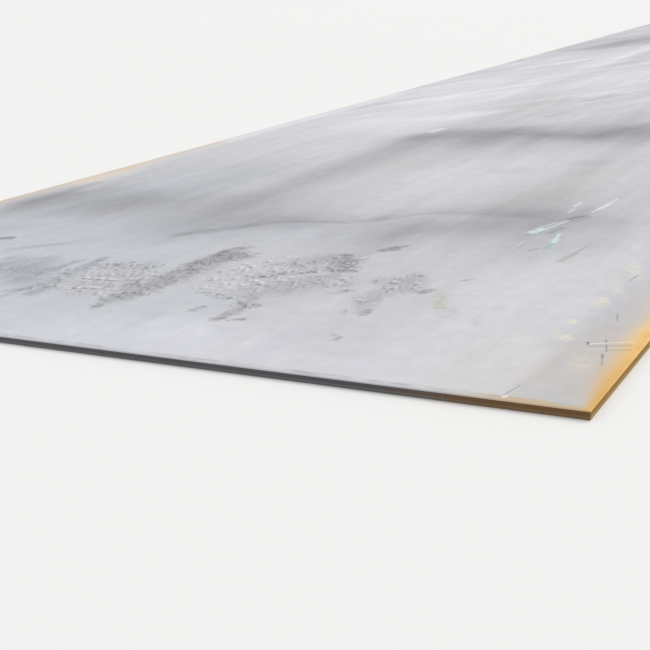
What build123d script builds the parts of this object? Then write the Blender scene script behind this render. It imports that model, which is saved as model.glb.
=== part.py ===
# Steel plate: one flat piece of hot-rolled stock with four sheared edges.
# Lengths are in millimetres. X runs across the width, Y along the length and Z up.
# The origin is the middle of the underside, so the plate lies on the XY plane.

from build123d import *
import os

# The plate as it is sold
plate_length = 10000.0
plate_width = 2200.0
plate_thickness = 12.0

# The sheared edge, from the top face down to the underside
rollover_width = 4.0      # strip of the top face that the blade pulled down
rollover_drop = 0.9       # how far below the top face that strip ends
land_height = 6.1         # upright band that the blade rubbed smooth
fracture_setback = 0.6    # how far the broken band below it leans back

# What the roll-over and the land leave of the thickness is the fracture
fracture_height = plate_thickness - rollover_drop - land_height


def sheared_section(span):
    """Section of the given span with a sheared edge at each end, standing on y = 0."""
    half = span / 2
    with BuildSketch() as section:
        with BuildLine():
            base = Line((0, 0), (half - fracture_setback, 0))
            fracture = Line(base @ 1, (half, fracture_height))
            land = Line(fracture @ 1, (half, fracture_height + land_height))
            rollover = TangentArc(
                (half - rollover_width, plate_thickness), land @ 1, tangent=(1, 0)
            )
            Line(rollover @ 0, (0, plate_thickness))
            mirror(about=Plane.YZ)
        make_face()
    return section.sketch


# The side trim runs the full length and the end cuts cross it from side to side,
# so each corner is where two straight cuts meet
with BuildPart() as steel_plate:
    with BuildSketch(Plane.XZ):
        add(sheared_section(plate_width))
    extrude(amount=plate_length / 2, both=True)
    with BuildSketch(Plane.YZ):
        add(sheared_section(plate_length))
    extrude(amount=plate_width / 2, both=True, mode=Mode.INTERSECT)

steel_plate.part.label = "steel_plate"

os.makedirs("parts", exist_ok=True)
export_step(steel_plate.part, "parts/steel_plate.step")
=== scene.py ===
# Looks of the steel plate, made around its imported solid.
# Lengths are in metres and colours run from 0 to 255 as they show on a screen.
import bpy
import math
import numpy as np
from mathutils import Matrix, Vector


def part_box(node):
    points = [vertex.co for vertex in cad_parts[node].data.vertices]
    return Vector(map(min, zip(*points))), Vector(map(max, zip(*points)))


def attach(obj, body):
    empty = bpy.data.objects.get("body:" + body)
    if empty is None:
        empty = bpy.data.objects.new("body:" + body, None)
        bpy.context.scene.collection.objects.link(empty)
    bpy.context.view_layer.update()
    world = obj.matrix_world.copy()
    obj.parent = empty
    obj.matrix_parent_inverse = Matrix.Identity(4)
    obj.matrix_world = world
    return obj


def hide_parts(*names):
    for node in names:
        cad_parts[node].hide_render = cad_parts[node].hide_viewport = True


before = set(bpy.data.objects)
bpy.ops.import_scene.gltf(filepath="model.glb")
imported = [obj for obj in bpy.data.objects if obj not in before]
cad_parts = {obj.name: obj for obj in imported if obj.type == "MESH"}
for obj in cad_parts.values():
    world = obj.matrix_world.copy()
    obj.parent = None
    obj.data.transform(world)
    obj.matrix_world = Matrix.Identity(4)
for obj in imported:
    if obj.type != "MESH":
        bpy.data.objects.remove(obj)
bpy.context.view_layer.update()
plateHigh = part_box("steel_plate")[1]
halfWidth = plateHigh.x
halfLength = plateHigh.y
thickness = plateHigh.z
millimetre = 0.001
whiteLevel = 265.0  # screen level that stands for a linear grey of 1

# Places on the plate are (across, along): in from the right edge, and up from the near end.

# The camera, placed as for the photo
view = {
    "fromCorner": (0.349, -1.067, 0.487),  # from the near right top corner
    "turn": -33.6,
    "tilt": 17.75,
    "roll": 6.05,
    "lens": 55.55,
    "sensor": 36.0,
    "frame": 650,  # pixels each way
}


def viewAxes():
    # the camera's right, up and ahead
    turn, tilt, roll = (math.radians(view[name]) for name in ("turn", "tilt", "roll"))
    ahead = np.array([math.sin(turn) * math.cos(tilt), math.cos(turn) * math.cos(tilt), -math.sin(tilt)])
    level = np.array([math.cos(turn), -math.sin(turn), 0])
    down = np.cross(ahead, level)
    right = level * math.cos(roll) + down * math.sin(roll)
    up = level * math.sin(roll) - down * math.cos(roll)
    return right, up, ahead


# Marks that the photo shows are placed in its pixels, and these functions carry them to the top face.
patchEnds = 0.85  # share of a patch's half width that its round ends add
patchReach = 0.003  # least length from a patch's middle to where they start


def seenAt(x, y):
    # place where the camera's ray through a pixel meets the top face
    right, up, ahead = viewAxes()
    middle, focal = view["frame"] / 2, view["frame"] * view["lens"] / view["sensor"]
    ray = ahead + right * ((x - middle) / focal) + up * ((middle - y) / focal)
    eye = np.array(view["fromCorner"])
    met = eye - ray * (eye[2] / ray[2])
    return np.array([-met[0], met[1]])


def stepsAt(x, y):
    # how the place there moves with a pixel across, and with a pixel down
    across = seenAt(x + 0.5, y) - seenAt(x - 0.5, y)
    down = seenAt(x, y + 0.5) - seenAt(x, y - 0.5)
    return np.stack([across, down], -1)


def ovalAxes(x, y, halfWide, halfHigh, tilt):
    # half axes on the top face of an oval that is tilted up to the right in the photo
    lean = math.radians(tilt)
    shown = np.array([[math.cos(lean), math.sin(lean)], [-math.sin(lean), math.cos(lean)]])
    return stepsAt(x, y) @ (shown * (halfWide, halfHigh))


def strokesSeen(**groups):
    # from one pixel to another, as thick as a number of pixels, and the rest of the row
    made = []
    for x, y, toX, toY, thick, *rest in sum(groups.values(), ()):
        start, end = seenAt(x, y), seenAt(toX, toY)
        over = np.array([y - toY, toX - x]) / math.hypot(toX - x, toY - y) * thick / 2
        over = stepsAt((x + toX) / 2, (y + toY) / 2) @ over
        span = end - start
        halfWide = abs(over[0] * span[1] - over[1] * span[0]) / np.linalg.norm(span)
        made.append((*start, *end, halfWide, *rest))
    return made


def patchesSeen(**groups):
    # ovals, as thick strokes with round ends
    made = []
    for x, y, halfWide, halfHigh, tilt, *rest in sum(groups.values(), ()):
        directions, halves, _ = np.linalg.svd(ovalAxes(x, y, halfWide, halfHigh, tilt))
        reach = directions[:, 0] * max(halves[0] - patchEnds * halves[1], patchReach)
        made.append((*(seenAt(x, y) - reach), *(seenAt(x, y) + reach), halves[1], *rest))
    return made


def blotsSeen(**groups):
    # ovals, as blots with a turn
    made = []
    for x, y, halfWide, halfHigh, tilt, strength in sum(groups.values(), ()):
        directions, halves, _ = np.linalg.svd(ovalAxes(x, y, halfWide, halfHigh, tilt))
        turn = -math.degrees(math.atan2(directions[1, 0], directions[0, 0]))
        made.append((*seenAt(x, y), *halves, turn, strength))
    return made


def cloudsSeen(**groups):
    # ovals, as clouds whose half width is taken at one along, with a half length and a lean
    made = []
    for x, y, halfWide, halfHigh, tilt, levels in sum(groups.values(), ()):
        axes = ovalAxes(x, y, halfWide, halfHigh, tilt)
        form = np.linalg.inv(axes @ axes.T)
        lean = -form[0, 1] / form[0, 0]
        halfAcross = form[0, 0] ** -0.5
        halfAlong = (form[1, 1] + form[0, 1] * lean) ** -0.5
        made.append((*seenAt(x, y), halfAcross, halfAlong, levels, lean))
    return made


# The plate's shape, with the sheared edge from the top down
plateShape = {
    "linesAcross": 88,
    "linesAlong": 400,
    "crowding": 0.55,  # 0 spaces the lines evenly, 1 crowds them at the edges
    "edgeLines": (0.0, 0.3, 0.8, 1.5, 2.4, 3.4, 4.6, 6.5, 9.0, 12.5, 17.0),  # mm in from the edge
    "rolloverWidth": 4.0 * millimetre,
    "rolloverDrop": 0.9 * millimetre,
    "rolloverWander": 0.28,  # share by which the width changes along the edge
    "bendWidth": 13.0 * millimetre,  # the faint bend before the roll-over
    "bendDrop": 0.12 * millimetre,
    "landHeight": 6.1 * millimetre,
    "landWander": 0.7 * millimetre,
    "fractureSetback": 0.6 * millimetre,
    "fractureRough": 0.28 * millimetre,
    "fractureRows": 4,
    "bakeColumns": {  # start and width
        "top": (0.004, 0.780),
        "under": (0.792, 0.136),
        "ends": (0.937, 0.014),
        "right": (0.959, 0.014),
        "left": (0.981, 0.014),
    },
    "bakeRows": (0.004, 0.996),  # foot and head of each column
    "bakeGap": 0.01,  # from the middle to each end's strip
    "bakeEven": (0.12, 0.10),  # share of the top's columns and rows that is spaced by lines
    "bakePower": 0.55,
    "bakeLand": 0.56,  # share of a strip that the land has
    "waveDepth": 0.45 * millimetre,  # long shallow waves in both faces
    "waveSize": 1.3,
    "waveStart": 50.0 * millimetre,  # full depth this far in
    "seed": 11,
}

# Ripples that move the clouds and tints, as depth and size
cloudRipples = {
    "across": (0.022, 0.22),
    "along": (0.050, 0.11),  # changes only across the plate
    "alongBoth": (0.035, 0.30),  # changes both ways
    "stretch": 0.4,  # below 1 draws the first one out along the plate
}

# Soft clouds on the top face: across, along, half width, half length, levels lighter or darker
clearTop = 203.5
cloudDepth = 1.55  # strengthens all the clouds
clouds = (
    # painted reflection: the far field is painted pale for the sky it mirrors at a grazing view
    (1.45, 4.60, 1.30, 1.90, 11),  # pale far field
    (1.6, 2.7, 0.42, 0.5, 9), (1.25, 4.7, 0.12, 0.6, -7), (1.75, 6.4, 0.35, 0.75, -24),
    (1.3, 5.3, 0.1, 0.5, -8), (2.0, 5.0, 0.08, 0.5, -8), (1.2, 2.8, 0.07, 0.3, -10),
    (0.95, 2.85, 0.25, 0.35, -4),
    (0.78, 2.14, 0.60, 0.19, -23),  # smoky band across the plate
    (1.02, 2.13, 0.1, 0.2, -9), (0.6, 2.13, 0.08, 0.16, -8), (1.26, 2.12, 0.08, 0.24, -9),
    (0.5, 2.18, 0.16, 0.26, -9), (1.0, 2.02, 0.18, 0.34, -9), (0.66, 2.52, 0.1, 0.2, -7),
    (1.25, 1.60, 0.09, 0.60, -14),  # and its tail along the plate
    (1.24, 1.02, 0.1, 0.22, -8), (1.62, 1.48, 0.4, 0.26, -8), (1.68, 1.05, 0.5, 0.16, -24),
    (2.04, 1.03, 0.06, 0.2, -9), (1.98, 1.2, 0.12, 0.14, -10), (1.98, 0.94, 0.1, 0.12, -9),
    (1.7, 0.87, 0.26, 0.08, -7), (0.8, 1.48, 0.2, 0.28, 8), (0.5, 1.5, 0.05, 0.3, -9),
    (0.44, 0.98, 0.15, 0.11, -26),  # round the chalk
    (0.45, 1.19, 0.08, 0.11, -9), (0.25, 0.8, 0.1, 0.12, -7), (0.6, 0.86, 0.22, 0.1, -16),
    (0.67, 0.75, 0.045, 0.11, -18), (0.9, 0.82, 0.18, 0.06, -8), (1.1, 0.87, 0.22, 0.1, -16),
    (1.2, 0.75, 0.12, 0.07, -10), (0.55, 2.05, 0.1, 0.16, -6), (0.53, 1.12, 0.06, 0.14, -7),
    (0.85, 0.7, 0.6, 0.06, -4), (1.38, 0.8, 0.16, 0.14, -7), (0.55, 0.83, 0.14, 0.1, -6),
    (1.97, 0.9, 0.12, 0.12, -6), (1.8, 0.71, 0.1, 0.05, -9), (0.97, 0.87, 0.1, 0.08, -4),
    (0.45, 1.2, 0.12, 0.14, -2), (1.85, 3.5, 0.25, 0.45, 6), (1.5, 3.6, 0.1, 0.35, 6),
    (0.70, 0.02, 0.55, 0.16, 10),  # pale near end
    (0.26, 0.38, 0.17, 0.4, 9),
    *cloudsSeen(
        left=(
            (26, 267, 27, 9, 3, -9), (30, 284, 28, 6, 5, -5), (160, 240, 45, 5, 5, -5),
            (90, 238, 40, 5, 10, -3), (55, 207, 30, 5, 10, 6), (160, 200, 50, 5, 5, 4),
            (122, 228, 24, 4, 8, 3), (205, 158, 38, 5, 14, 3), (165, 292, 18, 4, 5, 3),
        ),
        middle=(
            (240, 291, 26, 5, 5, 7), (220, 262, 24, 8, 25, -4), (170, 335, 90, 12, -6, 4),
            (440, 240, 30, 6, 20, -5), (340, 150, 60, 8, 15, 3), (433, 134, 9, 2.5, 5, 6),
            (452, 214, 28, 3, 2, -3),
        ),
        right=(
            (315, 312, 35, 12, 10, 6), (535, 340, 60, 16, 42, 5), (630, 252, 30, 12, 40, 6),
            (620, 221, 35, 7, 5, -6), (540, 243, 22, 10, 30, -4), (640, 241, 8, 8, 0, 6),
            (585, 307, 14, 12, 0, 4), (543, 362, 12, 12, 0, 3),
        ),
        far=(
            (440, 95, 45, 8, 15, 5), (425, 113, 45, 3.5, 5, -7), (638, 108, 16, 5, 12, -3),
            (500, 90, 45, 7, 12, 3),
        ),
    ),
)

# Where the top turns bluer, or warmer with a minus sign, in the same places
tints = (
    (1.6, 0.62, 0.4, 0.22, 1.3), (1.15, 0.2, 0.5, 0.4, 0.7), (1.7, 1.3, 0.35, 0.6, 0.35),
    (1.75, 1.05, 0.4, 0.4, 0.6), (0.95, 0.78, 0.32, 0.06, 0.6), (2.14, 1.3, 0.05, 0.5, -0.8),
    (0.45, 1.4, 0.12, 0.3, -0.6), (1.64, 0.96, 0.1, 0.1, -0.8), (0.1, 0.12, 0.16, 0.22, -0.9),
    (0.53, 1.1, 0.06, 0.14, -0.5), (1.42, 0.4, 0.14, 0.08, 0.9), (1.22, 0.31, 0.06, 0.06, 0.5),
    (1.1, 1.6, 0.12, 0.12, -0.6), (1.15, 2.9, 0.14, 0.5, -0.5),
)


def paint(red, green, blue):
    # screen colour to the linear colour that a shader takes
    shown = np.array([red, green, blue]) / 255
    linear = np.where(shown <= 0.04045, shown / 12.92, ((shown + 0.055) / 1.055) ** 2.4)
    return (*linear.tolist(), 1.0)


def ripple(x, y, size, seed, waves=12):
    # mean of sine waves of about one size, each in a seeded direction, scaled to about -1 to 1
    rng = np.random.default_rng(seed)
    total = np.zeros_like(x)
    for _ in range(waves):
        angle, phase = rng.uniform(0, 2 * math.pi, 2)
        pitch = size * rng.uniform(0.6, 1.7)
        total += np.sin((x * math.cos(angle) + y * math.sin(angle)) * 2 * math.pi / pitch + phase)
    return total * 2 / waves


# Plate mesh

def gridLines(half, count):
    # lines from -half to half: the edge lines at both ends, and between them even steps mixed with a cosine
    edge = np.array(plateShape["edgeLines"]) * millimetre
    step = np.linspace(0, 1, count - 2 * len(edge) + 2)
    crowding = plateShape["crowding"]
    middle = (half - edge[-1]) * ((1 - crowding) * (2 * step - 1) - crowding * np.cos(math.pi * step))
    return np.concatenate([-half + edge[:-1], middle, half - edge[:-1][::-1]])


def rolloverDepth(inset, x, y):
    # arc of the roll-over, whose width wanders along the edge, and a faint parabola for the bend before it
    shape = plateShape
    wander = 1 + shape["rolloverWander"] * ripple(x, y, 0.22, shape["seed"])
    width = shape["rolloverWidth"] * wander
    drop = shape["rolloverDrop"]
    radius = (width ** 2 + drop ** 2) / (2 * drop)
    into = np.clip(width - inset, 0, None)
    arc = radius - np.sqrt(radius ** 2 - into ** 2)
    bend = shape["bendDrop"] * np.clip(1 - inset / shape["bendWidth"], 0, 1) ** 2
    return arc + bend


def plateRings(x, y):
    # rings below the top arris as (share of the way in, roughness, height), for the outline's points
    shape = plateShape
    short = ripple(x, y, 0.035, shape["seed"] + 1)
    long = ripple(x, y, 0.30, shape["seed"] + 2)
    landTop = thickness - rolloverDepth(0 * x, x, y)
    landFoot = thickness - shape["rolloverDrop"] - shape["landHeight"]
    landFoot = landFoot + shape["landWander"] * (0.6 * long + 0.4 * short)
    rings = [(0.0, 0 * x, landTop * 0.5 + landFoot * 0.5), (0.0, 0 * x, landFoot)]
    for row in range(1, shape["fractureRows"] + 1):
        down = row / shape["fractureRows"]
        torn = ripple(x, y, 0.018, shape["seed"] + 10 + row) * 0.5 + 0.5
        rings.append((down, shape["fractureRough"] * np.clip(torn, 0, 1), landFoot * (1 - down)))
    return rings


def bakePlaces(xLines, yLines):
    # The looks can be baked into one picture, and this gives each face's corners a place in it. The top
    # takes most of the width, with along to a power below 1, so that the near end has more of it. The
    # underside has a column beside it, and each side a thin strip.
    shape = plateShape
    column = shape["bakeColumns"]
    low, high = shape["bakeRows"]
    evenX, evenY = shape["bakeEven"]
    acrossShare = (xLines + halfWidth) / (2 * halfWidth)
    alongShare = (yLines + halfLength) / (2 * halfLength)
    countX, countY = np.linspace(0, 1, len(xLines)), np.linspace(0, 1, len(yLines))
    topU = column["top"][0] + column["top"][1] * ((1 - evenX) * acrossShare + evenX * countX)
    topV = low + (high - low) * ((1 - evenY) * alongShare ** shape["bakePower"] + evenY * countY)
    underU = column["under"][0] + column["under"][1] * acrossShare
    underV = low + (high - low) * alongShare

    def quads(u, v):
        flat = np.stack(np.meshgrid(u, v), -1)
        corners = [flat[:-1, :-1], flat[:-1, 1:], flat[1:, 1:], flat[1:, :-1]]
        return np.stack(corners, -2).reshape(-1, 4, 2)

    # the sides in turn: near end, right, far end, left
    runs = (
        (len(xLines), "ends", low, 0.5 - shape["bakeGap"]),
        (len(yLines), "right", low, high),
        (len(xLines), "ends", 0.5 + shape["bakeGap"], high),
        (len(yLines), "left", low, high),
    )
    steps = [np.linspace(v0, v1, count) for count, _, v0, v1 in runs]
    start = np.concatenate([step[:-1] for step in steps])
    end = np.concatenate([step[1:] for step in steps])
    strip = np.repeat([column[name][0] for _, name, _, _ in runs], [count - 1 for count, _, _, _ in runs])
    fracture = np.linspace(shape["bakeLand"], 1.0, shape["fractureRows"] + 1)
    depth = np.concatenate([[0.0, shape["bakeLand"] / 2], fracture]) * column["left"][1]
    stripFaces = []
    for upper, lower in zip(depth[:-1], depth[1:]):
        corners = ((lower, start), (lower, end), (upper, end), (upper, start))
        stripFaces.append(np.stack([np.stack([strip + into, v], -1) for into, v in corners], 1))
    return np.concatenate([quads(topU, topV), *stripFaces, quads(underU, underV)[:, ::-1]])


def faceWave(x, y, inset, seed):
    # how deep the long waves in a face are, fading out at its edges
    share = ripple(x, y, plateShape["waveSize"], plateShape["seed"] + seed) * 0.5 + 0.5
    rise = np.clip(inset / plateShape["waveStart"], 0, 1)
    return plateShape["waveDepth"] * np.clip(share, 0, 1) * rise


def markSharp(mesh, points, levels):
    # sharp lines: the two arrises, the foot of the land and the four upright corners
    setback = plateShape["fractureSetback"]
    arris = np.zeros(len(points), int)
    for mark, level in ((1, levels[0]), (2, levels[2]), (3, levels[-1])):
        arris[level] = mark
    ends = np.zeros(len(mesh.edges) * 2, np.int32)
    mesh.edges.foreach_get("vertices", ends)
    ends = ends.reshape(-1, 2)
    inset = np.array([halfWidth, halfLength]) - np.abs(points[:, :2])
    atCorner = (inset < 2 * setback).all(1)
    upright = atCorner[ends].all(1) & (np.abs(np.diff(points[ends], axis=1)[:, 0, 2]) > setback / 2)
    onLevel = (arris[ends[:, 0]] == arris[ends[:, 1]]) & (arris[ends[:, 0]] > 0)
    mesh.edges.foreach_set("use_edge_sharp", onLevel | upright)


def addClouds(mesh, x, y):
    # a cloud is a bell shape in each direction, at places that ripple, more so along the plate
    def moved(name, x, y, seed):
        depth, size = cloudRipples[name]
        return depth * ripple(x, y, size, plateShape["seed"] + seed)

    fringe = moved("along", x, 0 * x, 22) + moved("alongBoth", x, y, 21)
    acrossPlace = halfWidth - x + moved("across", x, y * cloudRipples["stretch"], 20)
    alongPlace = halfLength + y + fringe
    for name, start, depth, kinds in (("level", clearTop, cloudDepth, clouds), ("tint", 0.0, 1.0, tints)):
        value = np.full(len(x), start)
        for across, along, halfAcross, halfAlong, strength, *lean in kinds:
            leaning = acrossPlace - across - (lean[0] if lean else 0) * (alongPlace - along)
            away = (leaning / halfAcross) ** 2 + ((alongPlace - along) / halfAlong) ** 2
            value += depth * strength * np.exp(-away)
        mesh.attributes.new(name, "FLOAT", "POINT").data.foreach_set("value", value.astype(np.float32))


def buildPlate():
    shape = plateShape
    xLines = gridLines(halfWidth, shape["linesAcross"])
    yLines = gridLines(halfLength, shape["linesAlong"])
    across, along = len(xLines), len(yLines)
    x, y = np.meshgrid(xLines, yLines)

    # top: long waves below the top level, and the roll-over round the edge
    inset = np.minimum(halfWidth - np.abs(x), halfLength - np.abs(y))
    top = thickness - faceWave(x, y, inset, 3) - rolloverDepth(inset, x, y)
    top = np.stack([x, y, top], -1).reshape(-1, 3)

    # underside: the same lines drawn in by the setback, lying on the floor at the arris
    setback = shape["fractureSetback"]
    inX, inY = 1 - setback / halfWidth, 1 - setback / halfLength
    under = np.stack([x * inX, y * inY, faceWave(x, y, inset, 4)], -1).reshape(-1, 3)

    # outline of the grid, counterclockwise from the near left corner
    index = np.arange(across * along).reshape(along, across)
    outline = np.concatenate([index[0, :-1], index[:-1, -1], index[-1, :0:-1], index[:0:-1, 0]])
    outX, outY = x.ravel()[outline], y.ravel()[outline]
    edgeX = np.where(np.abs(outX) > halfWidth - 1e-6, np.sign(outX), 0)
    edgeY = np.where(np.abs(outY) > halfLength - 1e-6, np.sign(outY), 0)
    rings = []
    for share, rough, height in plateRings(outX, outY)[:-1]:
        px = outX * (1 - share * setback / halfWidth) - edgeX * rough
        py = outY * (1 - share * setback / halfLength) - edgeY * rough
        rings.append(np.stack([px, py, height], -1))

    points = np.concatenate([top, *rings, under])
    count = len(outline)
    ringStart = len(top) + count * np.arange(len(rings))
    underStart = len(points) - len(under)
    levels = [outline, *(start + np.arange(count) for start in ringStart), outline + underStart]

    # faces: top, sides from each level to the next, and underside
    corner = index[:-1, :-1].ravel()
    topFaces = np.stack([corner, corner + 1, corner + 1 + across, corner + across], -1)
    sideFaces = [
        np.stack([lower, np.roll(lower, -1), np.roll(upper, -1), upper], -1)
        for upper, lower in zip(levels[:-1], levels[1:])
    ]
    underFaces = topFaces[:, ::-1] + underStart
    faces = np.concatenate([topFaces, *sideFaces, underFaces])
    slots = np.repeat([0, 1, 2], [len(topFaces), sum(map(len, sideFaces)), len(underFaces)])

    mesh = bpy.data.meshes.new("plate")
    mesh.from_pydata(points.tolist(), [], faces.tolist())
    mesh.polygons.foreach_set("material_index", slots.astype(np.int32))
    mesh.polygons.foreach_set("use_smooth", np.ones(len(faces), bool))
    places = bakePlaces(xLines, yLines).astype(np.float32)
    mesh.uv_layers.new(name="OFBake").uv.foreach_set("vector", places.ravel())
    markSharp(mesh, points, levels)
    addClouds(mesh, points[:, 0], points[:, 1])
    mesh.validate()
    mesh.update()
    return mesh


# Shader helpers

zero = (0, 0, 0)
trees = []  # new nodes go into the last one


def put(kind, values=None, **settings):
    tree = trees[-1]
    made = tree.nodes.new("ShaderNode" + kind)
    for name, value in settings.items():
        setattr(made, name, value)
    for name, value in (values or {}).items():
        if isinstance(value, bpy.types.NodeSocket):
            tree.links.new(value, made.inputs[name])
        else:
            made.inputs[name].default_value = value
    return made


def use(group, values):
    return put("Group", values, node_tree=group).outputs


def maths(operation, *values, clamp=False):
    return put("Math", dict(enumerate(values)), operation=operation, use_clamp=clamp).outputs[0]


def times(first, second, clamp=False):
    return maths("MULTIPLY", first, second, clamp=clamp)


def timesPlus(first, second, third):
    return maths("MULTIPLY_ADD", first, second, third)


def plus(first, second, clamp=False):
    return maths("ADD", first, second, clamp=clamp)


def minus(first, second):
    return maths("SUBTRACT", first, second)


def vectors(operation, *values):
    made = put("VectorMath", dict(enumerate(values)), operation=operation)
    return made.outputs["Value" if operation in ("LENGTH", "DOT_PRODUCT") else "Vector"]


def parts(place):
    return put("SeparateXYZ", {"Vector": place}).outputs


def fade(value, start, end, low=0.0, high=1.0):
    # smooth step from low at start to high at end
    values = {"Value": value, "From Min": start, "From Max": end, "To Min": low, "To Max": high}
    return put("MapRange", values, interpolation_type="SMOOTHSTEP").outputs["Result"]


def mixColour(amount, under, over, kind="MIX"):
    return put("Mix", {0: amount, 6: under, 7: over}, data_type="RGBA", blend_type=kind).outputs[2]


def greyColour(value):
    return put("CombineColor", {0: value, 1: value, 2: value}).outputs[0]


def noise(place, scale, detail=3.0, roughness=0.5):
    values = {"Vector": place, "Scale": scale, "Detail": detail, "Roughness": roughness}
    return put("TexNoise", values).outputs["Fac"]


def about(value, size):
    # noise moved to lie between -size and size
    return timesPlus(value, 2 * size, -size)


def strongest(masks):
    total = masks[0]
    for mask in masks[1:]:
        total = maths("MAXIMUM", total, mask)
    return total


def startGroup(name, inputs, outputs):
    tree = bpy.data.node_groups.new(name, "ShaderNodeTree")
    for label, value in inputs.items():
        kind = "NodeSocket" + ("Vector" if isinstance(value, tuple) else "Float")
        tree.interface.new_socket(label, in_out="INPUT", socket_type=kind).default_value = value
    for label, kind in outputs.items():
        tree.interface.new_socket(label, in_out="OUTPUT", socket_type="NodeSocket" + kind)
    trees.append(tree)
    return tree.nodes.new("NodeGroupInput").outputs, tree.nodes.new("NodeGroupOutput").inputs


def finishGroup(out, results):
    for label, result in results.items():
        trees[-1].links.new(result, out[label])
    return trees[-1]


# Effects that the materials share

def makePlateMap():
    # place on the plate, and how far in it is from the nearest long edge and the nearest end
    outputs = {"Place": "Vector", "Side": "Float", "End": "Float"}
    given, out = startGroup("plate map", {"Vector": zero}, outputs)
    half = (halfWidth, halfLength, 0)
    place = vectors("MULTIPLY_ADD", given["Vector"], (-1, 1, 0), half)
    left = parts(vectors("SUBTRACT", half, vectors("ABSOLUTE", given["Vector"])))
    return finishGroup(out, {"Place": place, "Side": left["X"], "End": left["Y"]})


def softMask(reach, given):
    # 1 inside a reach of 1 and 0 outside it, where Wobble moves the rim
    reach = plus(reach, given["Wobble"])
    return fade(reach, plus(given["Softness"], 1.0), minus(1.0, given["Softness"]))


def makeBlot():
    # soft oval
    inputs = {"Place": zero, "Centre": zero, "Half Size": (1, 1, 1), "Turn": 0.0}
    inputs.update({"Softness": 0.5, "Wobble": 0.0})
    given, out = startGroup("blot", inputs, {"Mask": "Float"})
    away = vectors("SUBTRACT", given["Place"], given["Centre"])
    values = {"Vector": away, "Angle": given["Turn"]}
    turned = put("VectorRotate", values, rotation_type="Z_AXIS").outputs[0]
    reach = vectors("LENGTH", vectors("DIVIDE", turned, given["Half Size"]))
    return finishGroup(out, {"Mask": softMask(reach, given)})


def makeStroke():
    # soft line from Start along Span. Slope is the span over its squared length, and with it the share of
    # the span where the nearest point lies is one product
    inputs = {"Place": zero, "Start": zero, "Span": zero, "Slope": zero, "Half Width": 0.01}
    inputs.update({"Softness": 0.5, "Wobble": 0.0})
    given, out = startGroup("stroke", inputs, {"Mask": "Float"})
    away = vectors("SUBTRACT", given["Place"], given["Start"])
    share = vectors("DOT_PRODUCT", away, given["Slope"])
    share = maths("MINIMUM", maths("MAXIMUM", share, 0.0), 1.0)
    nearest = put("VectorMath", {0: given["Span"], "Scale": share}, operation="SCALE").outputs["Vector"]
    reach = vectors("LENGTH", vectors("SUBTRACT", away, nearest))
    reach = maths("DIVIDE", reach, given["Half Width"])
    return finishGroup(out, {"Mask": softMask(reach, given)})


def makeStreaks():
    # fine lines drawn out along the plate by the rolls, as levels either side of 0
    inputs = {"Place": zero, "Width": 0.05, "Length": 1.0, "Levels": 5.0}
    given, out = startGroup("rolling streaks", inputs, {"Levels": "Float"})
    size = put("CombineXYZ", {"X": given["Width"], "Y": given["Length"], "Z": 1.0}).outputs[0]
    drawn = vectors("DIVIDE", given["Place"], size)
    around = about(noise(drawn, 1.0, 3.0, 0.55), 4.0)
    return finishGroup(out, {"Levels": times(around, given["Levels"])})


def makeSpecks():
    # dark specks of scale drawn out along the plate, each with a painted highlight, a pale fleck shifted the
    # same way beside it for an embossed look, more as Cover nears 1
    inputs = {"Place": zero, "Size": 0.008, "Cover": 0.0}
    given, out = startGroup("scale specks", inputs, {"Dark": "Float", "Light": "Float"})
    scale = maths("DIVIDE", 1.0, given["Size"])
    limit = timesPlus(given["Cover"], -0.100, 0.600)
    present = fade(given["Cover"], 0.03, 0.25)
    shown = []
    for shift, start in ((zero, -0.020), ((0.002, -0.011, 0), -0.015)):
        drawn = vectors("DIVIDE", vectors("ADD", given["Place"], shift), (1.0, 1.5, 1.0))
        lumps = noise(drawn, times(scale, 0.40), 2.0, 0.5)
        grain = timesPlus(lumps, 0.40, times(noise(drawn, scale, 2.0, 0.5), 0.60))
        shown.append(fade(minus(grain, limit), start, 0.065))
    dark = times(shown[0], present)
    # painted highlight: the pale fleck beside each dark speck
    light = times(times(shown[1], present), minus(1.0, shown[0]))
    return finishGroup(out, {"Dark": dark, "Light": light})


def makeRust():
    # rust from pale ochre through orange to brown as Depth goes from 0 to 1, with its own fine grain
    given, out = startGroup("rust", {"Place": zero, "Depth": 0.5, "Mottle": 1.2}, {"Colour": "Color"})
    coarse = noise(given["Place"], 28.0, 4.0, 0.6)
    fine = noise(given["Place"], 260.0, 3.0, 0.6)
    grain = timesPlus(fine, 0.45, times(coarse, 0.55))
    depth = plus(given["Depth"], times(minus(grain, 0.5), given["Mottle"]))
    ramp = put("ValToRGB", {"Fac": depth})
    stops = ramp.color_ramp.elements
    stops[0].position, stops[0].color = 0.05, paint(222, 206, 176)
    stops[1].position, stops[1].color = 1.0, paint(104, 70, 38)
    for position, colour in ((0.28, paint(240, 200, 126)), (0.55, paint(212, 158, 86))):
        stops.new(position).color = colour
    return finishGroup(out, {"Colour": ramp.outputs["Color"]})


plateMap = makePlateMap()
blot = makeBlot()
stroke = makeStroke()
streaks = makeStreaks()
specks = makeSpecks()
rust = makeRust()


def blots(place, shapes, softness, wobble):
    # the strongest of several blots at each place
    masks = []
    for across, along, halfAcross, halfAlong, turn, strength in shapes:
        values = {
            "Place": place,
            "Centre": (across, along, 0),
            "Half Size": (halfAcross, halfAlong, 1),
            "Turn": math.radians(turn),
            "Softness": softness,
            "Wobble": wobble,
        }
        masks.append(times(use(blot, values)["Mask"], strength))
    return strongest(masks)


def strokeMasks(place, shapes, softness, wobble):
    # one mask for each stroke, from one place to another
    masks = []
    for across, along, toAcross, toAlong, halfWide, *_ in shapes:
        span = Vector((toAcross - across, toAlong - along, 0))
        values = {
            "Place": place,
            "Start": (across, along, 0),
            "Span": tuple(span),
            "Slope": tuple(span / span.length_squared),
            "Half Width": halfWide,
            "Softness": softness,
            "Wobble": wobble,
        }
        masks.append(use(stroke, values)["Mask"])
    return masks


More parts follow.
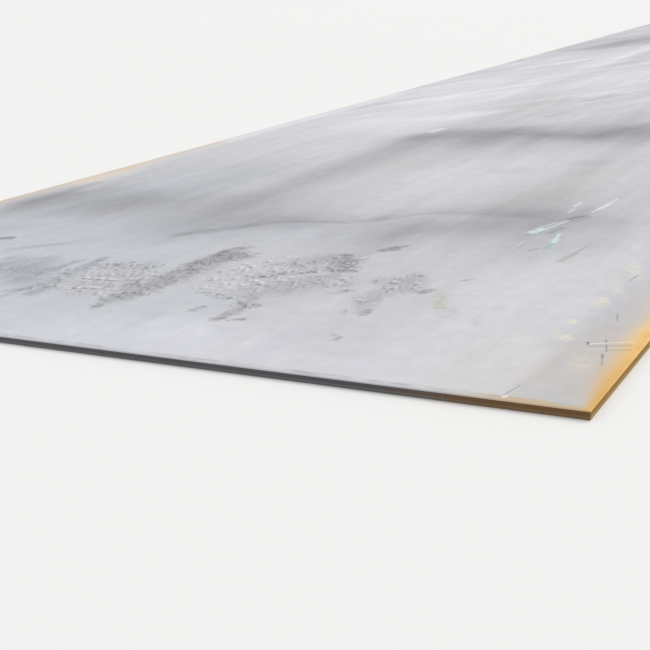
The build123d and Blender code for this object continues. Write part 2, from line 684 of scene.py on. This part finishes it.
def weighted(masks, shares):
    # the strongest of the masks, each times its share
    return strongest([times(mask, share) for mask, share in zip(masks, shares)])


def strokes(place, shapes, softness, wobble):
    masks = strokeMasks(place, shapes, softness, wobble)
    return weighted(masks, [shape[5] for shape in shapes])


def addStreaks(level, place, kinds, share=1.0):
    # level, with streaks of each width, length and levels
    for width, length, levels in kinds:
        values = {"Place": place, "Width": width, "Length": length, "Levels": levels}
        level = timesPlus(use(streaks, values)["Levels"], share, level)
    return level


def linearGrey(level):
    # display levels to a linear grey
    return maths("POWER", maths("DIVIDE", level, whiteLevel), 2.2)


def startMaterial(name, **constants):
    material = bpy.data.materials.new(name)
    material.use_nodes = True
    material.node_tree.nodes.clear()
    trees.append(material.node_tree)
    shader = put("BsdfPrincipled", constants)
    put("OutputMaterial", {"Surface": shader.outputs[0]})
    return material, shader


def startPlateMaterial(name, **constants):
    # with the Object coordinates, and the place, side and end that come from them
    material, shader = startMaterial(name, **constants)
    coordinates = put("TexCoord").outputs["Object"]
    return material, shader, coordinates, use(plateMap, {"Vector": coordinates})


def finishMaterial(material, shader, results):
    for label, result in results.items():
        trees[-1].links.new(result, shader.inputs[label])
    return material


# Top face. What goes to a Seen function and the tide line is in pixels. A stroke there is x, y, to x, y,
# thickness, strength and an oval is x, y, half width, half height, tilt, strength, and scalePatches add a
# share of specks. The rest is in places on the plate. Mottle and smudges are across, along, half width,
# half length, turn, strength, and farEdge is across, along, to across, along, half width, strength.
topLook = {
    "blue": (0.945, 0.990, 1.085, 1.0),
    "lilac": (0.980, 0.984, 1.052, 1.0),
    "plum": (1.004, 0.975, 1.060, 1.0),
    "pink": (1.000, 0.970, 1.036, 1.0),
    "warm": (1.018, 0.992, 0.978, 1.0),
    "dusk": (1.005, 0.981, 1.030, 1.0),
    "gloss": 0.47,
    "glossChange": 0.10,
    "nearStreaks": ((0.17, 1.5, 4.0), (0.05, 0.6, 2.5)),  # width, length, levels
    "fineStreaks": ((0.010, 0.22, 1.3),),
    "farStreaks": ((0.15, 0.7, 9.0), (0.04, 0.30, 3.5)),
    "tintStreaks": ((0.09, 0.8, 0.16),),
    "farLean": -0.6,  # across over along
    "grain": 6.5,
    "speckSize": 0.0076,
    "speckDepth": 29.0,
    "speckHighlight": 22.0,
    "mottleDepth": 6.0,  # more on the mottle
    "mottleHighlight": 14.0,
    "patchDepth": 38.0,
    "streakDepth": 20.0,
    "unseenCloud": 30.0,
    "unseenSmoke": 20.0,
    "smudgeDepth": -12.0,
    "tideDepth": 8.0,
    "tideShadow": 10.0,
    "tideBelow": 7.0,  # paler
    "stripDepth": -8.0,
    "endLine": (-20.0, -28.0),
    "endStrip": -7.0,
    # painted shade on the rolled-over arris at the ends
    "endArrisShade": -16.0,
    "mottle": (
        (0.8, 0.43, 0.105, 0.11, 0, 0.56), (1.085, 0.335, 0.12, 0.095, 0, 0.62),
    ),
    "scalePatches": strokesSeen(
        arm=(
            (248, 247, 228, 253.5, 3.6, 0.85, 0.6), (242, 257, 218, 259, 6.3, 1.2, 0.55),
            (228, 254, 206, 263, 10.7, 1.2, 0.55), (206, 263, 185, 272, 11.8, 1.0, 0.55),
            (185, 272, 165, 281, 13.4, 0.95, 0.6), (165, 281, 143, 290, 12, 0.9, 0.6),
            (145, 289, 118, 297, 9.6, 0.9, 0.6), (118, 298, 98, 306, 5.8, 0.85, 0.5),
            (213, 256, 226, 252, 3.6, 1.5, 0.6), (226, 251, 238, 248.5, 2.5, 0.9, 0.5),
            (190, 265, 208, 259, 5.3, 1.25, 0.6),
        ),
        left=(
            (150, 266, 110, 265, 7, 0.45, 0.9), (104, 258, 88, 265, 4.6, 0.85, 0.6),
            (87, 267, 66, 274, 6.8, 0.68, 0.6), (64, 276, 42, 286, 8.2, 0.56, 0.6),
            (48, 287, 33, 293, 5.7, 0.65, 0.5), (81, 260, 55, 268, 2.8, 0.7, 0.3),
            (56, 268, 20, 278, 4.8, 0.75, 0.4), (39, 261, -1, 265.5, 8.6, 0.6, 0.2),
            (38, 270.5, -2, 270.5, 9.3, 0.45, 0.3), (36, 288, 0, 291, 2, 0.75, 0.1),
            (-3, 238.8, 9.5, 238, 2.3, 1.7, 0.0),
        ),
        middle=(
            (232, 300, 200, 293, 3.7, 0.55, 0.85), (252, 278, 316, 271, 3.2, 0.7, 1.0),
            (252, 277, 327, 268, 6, 0.3, 0.7), (254, 291.5, 304, 284.5, 14, 0.6, 0.12),
            (300, 284, 318, 279, 11.4, 0.6, 0.5), (303, 263, 327, 259, 8.5, 0.6, 0.5),
            (268, 266, 298, 258, 2, 0.4, 0.3), (256, 252.5, 260, 253, 1.8, 0.65, 0.3),
            (347, 257, 378, 250.5, 4.7, 0.25, 0.1),
        ),
        foot=(
            (242, 304, 252, 305, 6.7, 0.85, 0.8), (246, 296, 254, 299, 9.2, 0.5, 0.5),
            (213, 319.5, 224, 317, 4.6, 1.1, 0.5), (225, 314, 236, 311, 5.1, 1.0, 0.5),
            (232, 319.5, 241, 318.5, 2.8, 0.9, 0.4), (238, 309, 250, 304, 4.7, 0.9, 0.5),
            (192, 309.5, 203, 307, 3.2, 0.8, 0.4),
        ),
        right=(
            (381, 294, 405, 285, 9.4, 0.42, 0.35), (336, 338.3, 340, 338, 2.5, 1.0, 0.6),
            (331, 335.5, 334, 335, 2, 0.5, 0.3), (465, 280.5, 470, 279.5, 2.1, 0.7, 0.4),
        ),
    ) + patchesSeen(
        left=(
            (26, 272, 24, 10, 8, 0.6, 0.15), (28, 258.5, 24, 2.6, 2, 0.45, 0.1),
            (133, 287.5, 13, 6.5, 8, 0.55, 0.15),
        ),
        middle=(
            (343, 263.3, 14, 8.5, 3, 1.0, 0.8), (346, 256.8, 9, 2.8, 5, 1.1, 0.9),
            (351, 265.5, 5.5, 6.5, 0, 1.15, 0.65), (338, 280, 18, 7.5, 3, 0.38, 0.6),
            (325, 284.5, 6, 3, 5, 0.55, 0.8), (344, 291.5, 8, 1.8, 5, 0.5, 0.5),
            (331, 291.8, 4, 1.2, 5, 0.4, 0.4), (312, 270.5, 13, 3.2, 15, 0.5, 0.95),
            (365, 259.4, 4, 1.0, 12, 0.5, 0.1),
        ),
        dash=(
            (384, 250.6, 6, 1.4, 8, 1.45, 0.6), (394, 248.8, 7, 2.0, 9, 1.55, 0.6),
            (403, 246.6, 4, 1.0, 10, 1.2, 0.3),
        ),
        right=(
            (415, 281, 11, 7.5, 8, 0.55, 0.7), (408, 284, 9, 6.5, 5, 0.62, 0.5),
            (392, 283.5, 13, 7, 12, 0.45, 0.6), (379, 279.8, 7, 2.8, 25, 0.45, 0.5),
            (426, 290.8, 8.5, 1.8, 12, 1.2, 0.15), (409, 291.3, 9, 1.6, 3, 0.75, 0.4),
            (373, 298.5, 15, 6, 27, 0.46, 0.15), (361, 303, 7, 7, 30, 0.42, 0.2),
            (363, 312.6, 7.2, 2.4, 3, 1.15, 0.3), (343.5, 312.5, 5, 2.2, 0, 0.4, 0.25),
        ),
    ),
    "smudges": (
        (0.705, 1.5, 0.055, 0.05, 20, 0.8), (0.52, 1.62, 0.055, 0.045, 20, 0.8),
        (0.96, 1.31, 0.014, 0.03, 0, 0.8),
    ),
    "darkStreaks": strokesSeen(
        left=(
            (30, 202, 64, 194, 4.9, 0.9), (64, 192.5, 96, 183, 2.9, 0.9), (68, 210, 148, 192, 5.9, 0.5),
            (112, 206, 148, 198, 8.8, 0.6), (150, 198, 230, 180, 6.8, 0.3),
            (174, 235.5, 212, 230, 2.4, 0.9), (212, 230, 250, 225, 2.5, 0.5),
            (12, 248, 66, 244, 2.5, 0.6), (66, 244, 100, 238, 2.5, 0.3), (2, 296, 30, 287, 3, 0.8),
        ),
        smoke=(
            (410, 138, 470, 132, 5, 0.8), (470, 134, 520, 131, 6.4, 0.85), (520, 133, 590, 137, 6.2, 0.8),
            (595, 137, 612, 132, 5.7, 0.75), (610, 132, 650, 124, 4.9, 0.6),
        ),
        far=(
            (590, 49, 650, 38, 3.9, 1.0), (490, 109, 560, 100, 4, 0.8), (545, 117, 568, 112, 1.9, 0.8),
            (590, 100, 615, 95, 3, 0.8),
        ),
    ),
    "paleStreaks": strokesSeen(
        far=(
            (515, 64, 560, 57, 3.9, 0.5), (618, 58, 652, 47, 3.9, 0.8), (350, 125, 440, 112, 5, 0.25),
            (440, 118, 490, 112, 4, 0.6), (431.5, 131.5, 439.5, 129.5, 2.7, 1.8),
            (229, 140.5, 398, 94, 3.1, 0.9),
        ),
    ),
    "tideLine": (
        (547, 218.5), (508, 217), (476, 215.5), (443, 213.5), (421, 214.5), (394.5, 218.5), (358, 222.5),
        (328, 223), (304, 222), (280, 223), (245, 228), (201, 233.5), (169, 233.5),
    ),
    "yellow": blotsSeen(
        wide=(
            (440.5, 302, 8, 10, 0, 1.0), (417, 303, 17, 5, 10, 0.35), (453, 312, 6, 6, 0, 0.5),
            (477, 320, 5, 5, 0, 0.55), (499, 307, 8, 3, 10, 0.5), (518, 283, 3, 3, 0, 0.35),
        ),
        corner=(
            (565, 337.5, 7, 3, 0, 1.1), (556.5, 334, 4, 4, 0, 0.6), (572, 321, 5, 2.5, 0, 0.9),
            (601, 302, 9, 4, 15, 0.85), (602, 282, 5, 7, 30, 0.35), (615.5, 284, 6, 9, 30, 0.7),
            (633.5, 270, 7, 9, 40, 0.7), (580, 363, 12, 7, 15, 0.4),
        ),
    ),
    "farEdge": (
        (2.15, 1.32, 2.14, 1.48, 0.055, 0.85), (2.165, 1.48, 2.17, 1.72, 0.042, 0.62),
        (2.18, 1.0, 2.17, 1.3, 0.036, 0.32), (2.175, 1.72, 2.165, 2.08, 0.04, 0.32),
    ),
    "chalkMarks": strokesSeen(
        lower=(
            (533, 232, 542, 229, 3.8, 1.0), (542.5, 229.5, 553.5, 226, 1.4, 0.85),
            (538, 228, 556, 222.5, 1.0, 0.75), (553.5, 226, 568, 220.5, 1.3, 0.75),
            (553.5, 242.2, 556, 239, 5.3, 0.95), (555, 239.5, 560, 233.5, 2.8, 0.9),
        ),
        upper=((569, 212.5, 574.5, 208.5, 2.5, 0.55),),
    ),
    "tealMarks": strokesSeen(
        shades=(
            (545, 249, 554, 241.5, 4.1, 0.8), (529.5, 233.5, 533.5, 231.5, 2.8, 0.5),
            (550, 232, 558, 228.5, 2.3, 0.35),
        ),
    ),
    "whiteMarks": strokesSeen(
        crayon=(
            (574.5, 206.5, 580.5, 202.5, 2.3, 0.65), (592.5, 212.5, 600.5, 208, 1.3, 0.9),
            (599.5, 209, 609, 204, 2.5, 1.0), (609, 204, 617, 199, 1.4, 0.95),
            (511.5, 249, 524.5, 240.5, 1.3, 0.4),
        ),
    ),
    "darkMarks": strokesSeen(
        chalkShadow=(
            (571, 218.6, 583, 216, 2.2, 0.62), (568, 220, 587, 215, 1.0, 0.45),
            (573.5, 221, 588, 217.5, 2.5, 0.2), (550.5, 232.5, 562, 228, 3.1, 0.38),
            (528, 235, 533, 231.5, 2.0, 0.45), (529, 251, 539, 248, 1.4, 0.35),
            (575, 252.8, 586.5, 247, 1.15, 0.45),
        ),
        scuffs=(
            (0, 251.5, 62, 243, 2, 0.12), (590, 346, 630, 345.5, 1.4, 0.22),
            (607, 350.5, 630, 349.5, 1.4, 0.2), (606.2, 340, 606, 342, 1.9, 0.5),
            (606.3, 345, 606.2, 352, 1.5, 0.6), (602.7, 354, 602.3, 358, 2.4, 0.6),
            (602.3, 358, 601.8, 365, 2.2, 0.35), (617.5, 314, 617.5, 321, 1.6, 0.45),
            (587.9, 344.3, 587.9, 342, 2.5, 0.75), (505, 394, 520, 385, 1.3, 0.42),
            (630, 280.5, 638, 275, 1.5, 0.4),
        ),
    ),
    "umberMarks": strokesSeen(smear=((560.5, 261, 574, 253.5, 3.9, 0.46),)),
    "scratches": strokesSeen(
        bright=(
            (589, 344, 605, 342.8, 0.5, 1.0), (605, 342.8, 634, 341.8, 0.4, 0.75),
            (585.5, 349.5, 605, 348.7, 0.45, 0.45), (503.5, 396.6, 506.5, 396.4, 1.5, 0.8),
        ),
    ),
    "chalk": paint(208, 226, 227),
    "tealChalk": paint(146, 182, 177),
    "umber": paint(160, 140, 114),
    "whiteChalk": paint(226, 227, 235),
    # colour of the dark marks, also used for painted shade on the end arris
    "darkMarkAndShade": paint(92, 88, 98),
    "scratch": paint(244, 242, 240),
    "cream": paint(228, 221, 202),
    "peach": paint(224, 207, 192),
    "blush": paint(211, 194, 177),
    "beige": paint(204, 179, 142),
    "deepRust": paint(186, 140, 82),
    "tan": paint(187, 181, 165),
}


def rolledLevels(level, place, drifted, ragged):
    # streaks left by the rolls, which lean on the pale far field, then grain, and listed streaks
    look = topLook
    along = parts(place)["Y"]
    lean = vectors("MULTIPLY", parts(drifted)["Y"], (look["farLean"], 0, 0))
    leaning = vectors("SUBTRACT", drifted, lean)
    level = addStreaks(level, leaning, look["farStreaks"], fade(along, 2.1, 3.4))
    level = addStreaks(level, drifted, look["nearStreaks"], fade(along, 0.2, 1.2, 0.35, 1.0))
    level = addStreaks(level, drifted, look["fineStreaks"])
    level = plus(level, about(noise(place, 26.0, 5.0, 0.65), 2 * look["grain"]))
    dark = strokes(drifted, look["darkStreaks"], 1.0, ragged)
    pale = strokes(drifted, look["paleStreaks"], 1.0, ragged)
    return timesPlus(minus(pale, dark), look["streakDepth"], level)


def tideLevels(spread):
    # the line that water left, a curve of along over across, halved because the curve node goes up to 1
    look = topLook
    curve = put("FloatCurve", {"Value": times(spread["X"], 0.5)})
    bend = curve.mapping.curves[0].points
    first, *inner, last = [seenAt(*pixel) / 2 for pixel in look["tideLine"]]
    bend[0].location = tuple(first)
    bend[1].location = tuple(last)
    for place in inner:
        bend.new(*place)
    curve.mapping.update()
    above = timesPlus(curve.outputs[0], -2.0, spread["Y"])
    line = times(fade(above, -0.020, 0.002), fade(above, 0.034, 0.002))
    line = times(line, fade(spread["X"], 0.60, 0.85, 0.3, 1.0))
    shadow = times(fade(above, -0.006, 0.006), fade(above, 0.17, 0.0))
    below = times(fade(above, 0.0, -0.02), fade(above, -0.22, -0.02))
    wet = timesPlus(line, look["tideDepth"], times(shadow, look["tideShadow"]))
    wet = timesPlus(below, -look["tideBelow"], wet)
    within = times(fade(spread["X"], 0.38, 0.48), fade(spread["X"], 1.28, 1.06))
    return times(wet, within)


def stretchedNoise(place, across, along, scale, detail, roughness):
    return noise(vectors("MULTIPLY", place, (across, along, 1)), scale, detail, roughness)


def scaleLevels(level, place, drifted, ragged, islands):
    # mottled scale: soft patches, and specks over them with painted highlights as pale flecks beside them
    look = topLook
    patches = look["scalePatches"]
    masks = strokeMasks(drifted, patches, 0.65, ragged)
    shade = weighted(masks, [patch[5] for patch in patches])
    pinkish = blots(drifted, look["mottle"], 0.5, ragged)
    pinkish = strongest((pinkish, times(islands, 0.6)))
    cover = strongest((pinkish, weighted(masks, [patch[6] for patch in patches])))
    dots = use(specks, {"Place": place, "Size": look["speckSize"], "Cover": cover})
    blotchy = fade(noise(place, 38.0, 3.0, 0.6), 0.36, 0.60, 0.62, 1.12)
    mottleShade = fade(parts(place)["X"], 0.85, 1.0, 0.04, 0.42)
    shaded = timesPlus(pinkish, mottleShade, times(shade, blotchy))
    shaded = timesPlus(islands, 0.25, shaded)
    level = timesPlus(shaded, -look["patchDepth"], level)
    fleckHighlight = timesPlus(pinkish, look["mottleHighlight"], look["speckHighlight"])
    deep = timesPlus(pinkish, -look["mottleDepth"], -look["speckDepth"])
    # painted highlights beside the specks
    level = timesPlus(dots["Light"], fleckHighlight, level)
    level = timesPlus(dots["Dark"], deep, level)
    return level, shade, pinkish, dots["Dark"]


def borderLevels(level, place, side, end, slow):
    # the strip along the side edges, the broken line beside the cut end, and painted shade on the end's
    # rolled-over arris
    look = topLook
    strip = fade(plus(side, about(slow, 0.025)), 0.118, 0.088)
    strip = times(strip, fade(end, 0.75, 0.30))
    level = timesPlus(strip, look["stripDepth"], level)
    broken = fade(noise(place, 14.0, 3.0, 0.6), 0.42, 0.58)
    line = plus(end, about(noise(place, 30.0, 3.0, 0.6), 0.005))
    line = times(fade(line, 0.0058, 0.0085), fade(line, 0.0160, 0.0100))
    depth = fade(parts(place)["X"], 0.55, 0.40, *look["endLine"])
    level = timesPlus(times(line, broken), depth, level)
    level = timesPlus(fade(end, 0.018, 0.010), look["endStrip"], level)
    # painted shade: the rolled-over arris at each end is darkened
    return timesPlus(fade(end, 0.0045, 0.0015), look["endArrisShade"], level)


def topHue(cloudLevel, drifted, across, shade, pinkish):
    # bluer or warmer with the tint, plum in the dark clouds and pinker on the mottled scale
    look = topLook
    tint = put("Attribute", attribute_name="tint").outputs["Fac"]
    tint = addStreaks(tint, drifted, look["tintStreaks"])
    hue = mixColour(fade(tint, 0.0, 1.0), look["lilac"], look["blue"])
    hue = mixColour(fade(tint, 0.0, -1.0), hue, look["warm"])
    dusky = times(fade(cloudLevel, 192.0, 150.0), fade(tint, 0.7, 0.1))
    hue = mixColour(dusky, hue, look["plum"])
    mottled = times(pinkish, fade(across, 0.85, 1.0, 0.35, 1.2))
    hue = mixColour(mottled, hue, look["pink"])
    dusk = times(shade, fade(across, 0.85, 0.70, 0.0, 0.7), clamp=True)
    return mixColour(dusk, hue, look["dusk"])


def topRust(colour, place, drifted, ragged, side, end, slow, unseen):
    # the band along the long edges, a thinner one at the ends, and yellow stains
    look = topLook
    spot = parts(place)
    bandWidth = fade(slow, 0.30, 0.70, 0.014, 0.027)
    bandWidth = times(bandWidth, fade(end, 0.0, 0.13, 0.42, 1.0))
    spreading = times(fade(noise(place, 1.3, 4.0, 0.6), 0.48, 0.66), unseen)
    bandWidth = times(bandWidth, timesPlus(spreading, 1.1, 1.0))
    bandsIn = maths("DIVIDE", side, bandWidth)
    band = fade(bandsIn, 2.5, 0.25)
    farWorn = fade(spot["Y"], 2.0, 2.4, 0.30, 0.10)
    worn = fade(spot["X"], 1.0, 1.2, 1.0, farWorn)  # the far long edge is paler
    nearCorner = fade(plus(side, about(slow, 0.05)), 0.20, 0.08)
    endWidth = fade(side, 0.035, 0.065, 0.008, 0.013)
    endBand = times(fade(maths("DIVIDE", end, endWidth), 1.6, 0.6), nearCorner)
    colour = mixColour(strokes(drifted, look["farEdge"], 1.0, ragged), colour, look["peach"])
    blush = times(fade(bandsIn, 4.6, 1.8, 0.0, 0.34), worn)
    colour = mixColour(blush, colour, look["blush"])
    colour = mixColour(times(endBand, 0.85), colour, look["beige"])
    depth = timesPlus(fade(side, 0.040, 0.0), 0.16, 0.16)
    rusty = use(rust, {"Place": place, "Depth": depth, "Mottle": 0.6})["Colour"]
    rusty = mixColour(fade(end, 0.34, 0.02, 0.0, 0.42), rusty, look["deepRust"])
    colour = mixColour(times(band, worn), colour, rusty)
    arris = fade(end, 0.006, 0.001, 0.0, 0.20)  # painted shade on the rolled-over arris of the ends
    colour = mixColour(arris, colour, look["darkMarkAndShade"])
    patchy = fade(noise(place, 75.0, 3.0, 0.6), 0.38, 0.60, 0.12, 0.9)
    yellow = times(blots(place, look["yellow"], 0.7, ragged), patchy, clamp=True)
    stain = mixColour(fade(spot["X"], 0.15, 0.25), look["cream"], look["tan"])
    return mixColour(yellow, colour, stain), band


def topMarks(colour, place, ragged):
    # dark marks, chalk worn through by a fine noise, and scratches
    look = topLook
    for marks, kind in (("darkMarks", "darkMarkAndShade"), ("umberMarks", "umber")):
        colour = mixColour(strokes(place, look[marks], 1.0, ragged), colour, look[kind])
    scuffed = fade(noise(place, 110.0, 4.0, 0.7), 0.32, 0.52)
    for marks, kind in (("tealMarks", "tealChalk"), ("chalkMarks", "chalk"), ("whiteMarks", "whiteChalk")):
        drawn = times(strokes(place, look[marks], 0.8, ragged), scuffed)
        colour = mixColour(drawn, colour, look[kind])
    return mixColour(strokes(place, look["scratches"], 0.4, 0.0), colour, look["scratch"])


def makeTopMaterial():
    look = topLook
    constants = {"Metallic": 0.15, "Specular IOR Level": 0.32}
    material, shader, _, onPlate = startPlateMaterial("rolled top", **constants)
    place, side, end = onPlate["Place"], onPlate["Side"], onPlate["End"]
    spot = parts(place)

    # everything drifts a little with a slow noise, so no shape keeps a clean outline
    drift = put("TexNoise", {"Vector": place, "Scale": 22.0, "Detail": 4.0}).outputs["Color"]
    drift = vectors("MULTIPLY_ADD", drift, (0.030, 0.050, 0), (-0.015, -0.025, 0))
    drifted = vectors("ADD", place, drift)
    ragged = about(noise(place, 60.0, 3.0, 0.6), 0.9)
    slow = noise(place, 3.0, 4.0, 0.6)

    # how light or dark the top is, in levels
    cloudLevel = put("Attribute", attribute_name="level").outputs["Fac"]
    cloudLevel = rolledLevels(cloudLevel, place, drifted, ragged)
    level = minus(cloudLevel, tideLevels(parts(drifted)))

    # beyond what the photo shows, slow noise carries the clouds, smoky bands and mottled scale on
    ahead = timesPlus(spot["X"], -3.8, spot["Y"])
    behind = timesPlus(spot["Y"], -1.13, spot["X"])
    unseen = strongest((fade(ahead, 0.45, 1.6), fade(behind, 1.10, 1.50)))
    carried = about(stretchedNoise(drifted, 1.5, 0.7, 1.0, 5.0, 0.6), look["unseenCloud"])
    smoky = fade(stretchedNoise(drifted, 0.7, 1.3, 0.8, 5.0, 0.55), 0.53, 0.64)
    carried = timesPlus(smoky, -look["unseenSmoke"], carried)
    level = timesPlus(carried, unseen, level)
    islands = fade(stretchedNoise(drifted, 1.3, 0.8, 1.5, 6.0, 0.68), 0.585, 0.66)
    islands = times(islands, unseen)

    level, shade, pinkish, dark = scaleLevels(level, place, drifted, ragged, islands)
    smudged = blots(drifted, look["smudges"], 0.6, ragged)
    level = timesPlus(smudged, look["smudgeDepth"], level)
    level = borderLevels(level, place, side, end, slow)

    hue = topHue(cloudLevel, drifted, spot["X"], shade, pinkish)
    colour = mixColour(1.0, greyColour(linearGrey(level)), hue, "MULTIPLY")
    colour, band = topRust(colour, place, drifted, ragged, side, end, slow, unseen)
    colour = topMarks(colour, place, ragged)

    height = timesPlus(dark, -0.6, noise(place, 420.0, 2.0, 0.6))
    bump = put("Bump", {"Height": height, "Strength": 0.22, "Distance": 0.0006}).outputs[0]
    rough = timesPlus(slow, look["glossChange"], look["gloss"] - look["glossChange"] / 2)
    rough = timesPlus(strongest((band, dark)), 0.2, rough)
    results = {"Base Color": colour, "Roughness": rough, "Normal": bump}
    return finishMaterial(material, shader, results)


# Cut edge: the smooth land above and the torn fracture below
edgeLook = {
    # the steel and end colours show on the ends and are darker than the side colours, partly their own
    # colour and partly painted shade
    "steelLand": paint(70, 72, 77),
    "steelFracture": paint(103, 104, 107),
    "endLand": paint(115, 83, 44),
    "endFracture": paint(130, 104, 72),
    "sideLand": paint(152, 115, 46),
    "sideFracture": paint(176, 143, 94),
    "wander": 0.8 * millimetre,  # of the line between them
    "blend": 0.3 * millimetre,
}


def makeEdgeMaterial():
    look = edgeLook
    material, shader, coordinates, onPlate = startPlateMaterial("sheared edge", Metallic=0.2)
    place, side, end = onPlate["Place"], onPlate["Side"], onPlate["End"]
    landFoot = thickness - plateShape["rolloverDrop"] - plateShape["landHeight"]
    wander = about(noise(place, 24.0), look["wander"])
    height = plus(parts(coordinates)["Z"], wander)
    land = fade(height, landFoot - look["blend"], landFoot + look["blend"])
    steel, endRustAndShade, sideRust = [
        mixColour(land, look[kind + "Fracture"], look[kind + "Land"]) for kind in ("steel", "end", "side")
    ]

    # rust is heavy on the long edges and at the corners, and thin along the ends. The ends take darker
    # colours than the long sides, partly their own and partly painted shade
    cloud = about(noise(place, 2.6, 4.0, 0.6), 0.25)
    rusted = plus(fade(side, 0.34, 0.09), cloud, clamp=True)
    onEnd = fade(minus(end, side), 0.001, -0.001)
    colour = mixColour(rusted, steel, mixColour(onEnd, sideRust, endRustAndShade))

    # the blade scored the land upright and tore the fracture
    upright = vectors("MULTIPLY", coordinates, (1, 1, 0.08))
    scoring = noise(upright, 500.0, 3.0, 0.6)
    torn = noise(coordinates, 700.0, 4.0, 0.7)
    relief = put("Mix", {0: land, 2: torn, 3: scoring}, data_type="FLOAT").outputs[0]
    colour = mixColour(0.35, colour, greyColour(relief), "OVERLAY")
    bump = put("Bump", {"Height": relief, "Strength": 0.5, "Distance": 0.0004}).outputs[0]
    rough = fade(rusted, 0.0, 1.0, 0.42, 0.8)
    results = {"Base Color": colour, "Roughness": rough, "Normal": bump}
    return finishMaterial(material, shader, results)


# Underside
underLook = {
    "level": 182.0,
    "streaks": ((0.20, 1.8, 7.0), (0.05, 0.6, 4.0), (0.010, 0.22, 2.0)),
    "rustDepth": 0.45,
    "gloss": 0.55,
}


def makeUnderMaterial():
    look = underLook
    constants = {"Metallic": 0.15, "Roughness": look["gloss"]}
    material, shader, _, onPlate = startPlateMaterial("rolled underside", **constants)
    place = onPlate["Place"]
    level = addStreaks(look["level"], place, look["streaks"])
    cover = fade(noise(place, 2.2, 5.0, 0.6), 0.55, 0.72)
    dots = use(specks, {"Place": place, "Size": topLook["speckSize"], "Cover": cover})
    level = timesPlus(dots["Dark"], -topLook["speckDepth"], level)
    colour = mixColour(1.0, greyColour(linearGrey(level)), topLook["lilac"], "MULTIPLY")
    rusty = use(rust, {"Place": place, "Depth": look["rustDepth"]})["Colour"]
    colour = mixColour(fade(onPlate["Side"], 0.03, 0.006), colour, rusty)
    return finishMaterial(material, shader, {"Base Color": colour})


def makePlate():
    plate = bpy.data.objects.new("steelPlate", buildPlate())
    bpy.context.scene.collection.objects.link(plate)
    for material in (makeTopMaterial(), makeEdgeMaterial(), makeUnderMaterial()):
        plate.data.materials.append(material)
    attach(plate, "root")
    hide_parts("steel_plate")
    return plate


# Floor, light and camera
stageLook = {
    "floorSize": 400.0,
    "floor": paint(243, 243, 242),
    "sky": (1.0, 1.0, 1.0, 1.0),
    "skyLight": 0.62,
    "sunLight": 1.35,
    "sunAngle": 50.0,  # width of the soft sun, in degrees
    "sunFrom": (0.55, 0.75, 1.5),
}


def makeStage():
    look = stageLook
    half = look["floorSize"] / 2
    mesh = bpy.data.meshes.new("floor")
    corners = [(-half, -half, 0), (half, -half, 0), (half, half, 0), (-half, half, 0)]
    mesh.from_pydata(corners, [], [(0, 1, 2, 3)])
    floor = bpy.data.objects.new("floor", mesh)
    bpy.context.scene.collection.objects.link(floor)
    material, _ = startMaterial("pale floor", **{"Roughness": 0.9, "Base Color": look["floor"]})
    mesh.materials.append(material)


def makeLight():
    look = stageLook
    world = bpy.data.worlds.new("studio")
    bpy.context.scene.world = world
    world.use_nodes = True
    world.node_tree.nodes.clear()
    trees.append(world.node_tree)
    rays = put("LightPath").outputs
    seen = strongest([rays[f"Is {kind} Ray"] for kind in ("Camera", "Glossy", "Transmission")])
    lit = put("Background", {"Color": look["sky"], "Strength": look["skyLight"]}).outputs[0]
    shown = put("Background", {"Color": look["floor"], "Strength": 1.0}).outputs[0]
    mixed = put("MixShader", {0: seen, 1: lit, 2: shown}).outputs[0]
    put("OutputWorld", {"Surface": mixed})

    sun = bpy.data.objects.new("softSun", bpy.data.lights.new("softSun", "SUN"))
    sun.data.energy = look["sunLight"]
    sun.data.angle = math.radians(look["sunAngle"])
    sun.matrix_world = Vector(look["sunFrom"]).to_track_quat("Z", "Y").to_matrix().to_4x4()
    bpy.context.scene.collection.objects.link(sun)


def makeCamera():
    right, up, ahead = viewAxes()
    camera = bpy.data.objects.new("camera", bpy.data.cameras.new("camera"))
    camera.data.lens = view["lens"]
    camera.data.sensor_width = view["sensor"]
    camera.data.clip_end = stageLook["floorSize"]
    place = Vector((halfWidth, -halfLength, thickness)) + Vector(view["fromCorner"])
    axes = Matrix(np.stack([right, up, -ahead], -1).tolist()).to_4x4()
    camera.matrix_world = Matrix.Translation(place) @ axes
    bpy.context.scene.collection.objects.link(camera)
    bpy.context.scene.camera = camera


makeStage()
makeLight()
makeCamera()
bpy.context.scene.view_settings.view_transform = "Standard"
print("stage, light and camera are in place")
makePlate()
print("plate made")
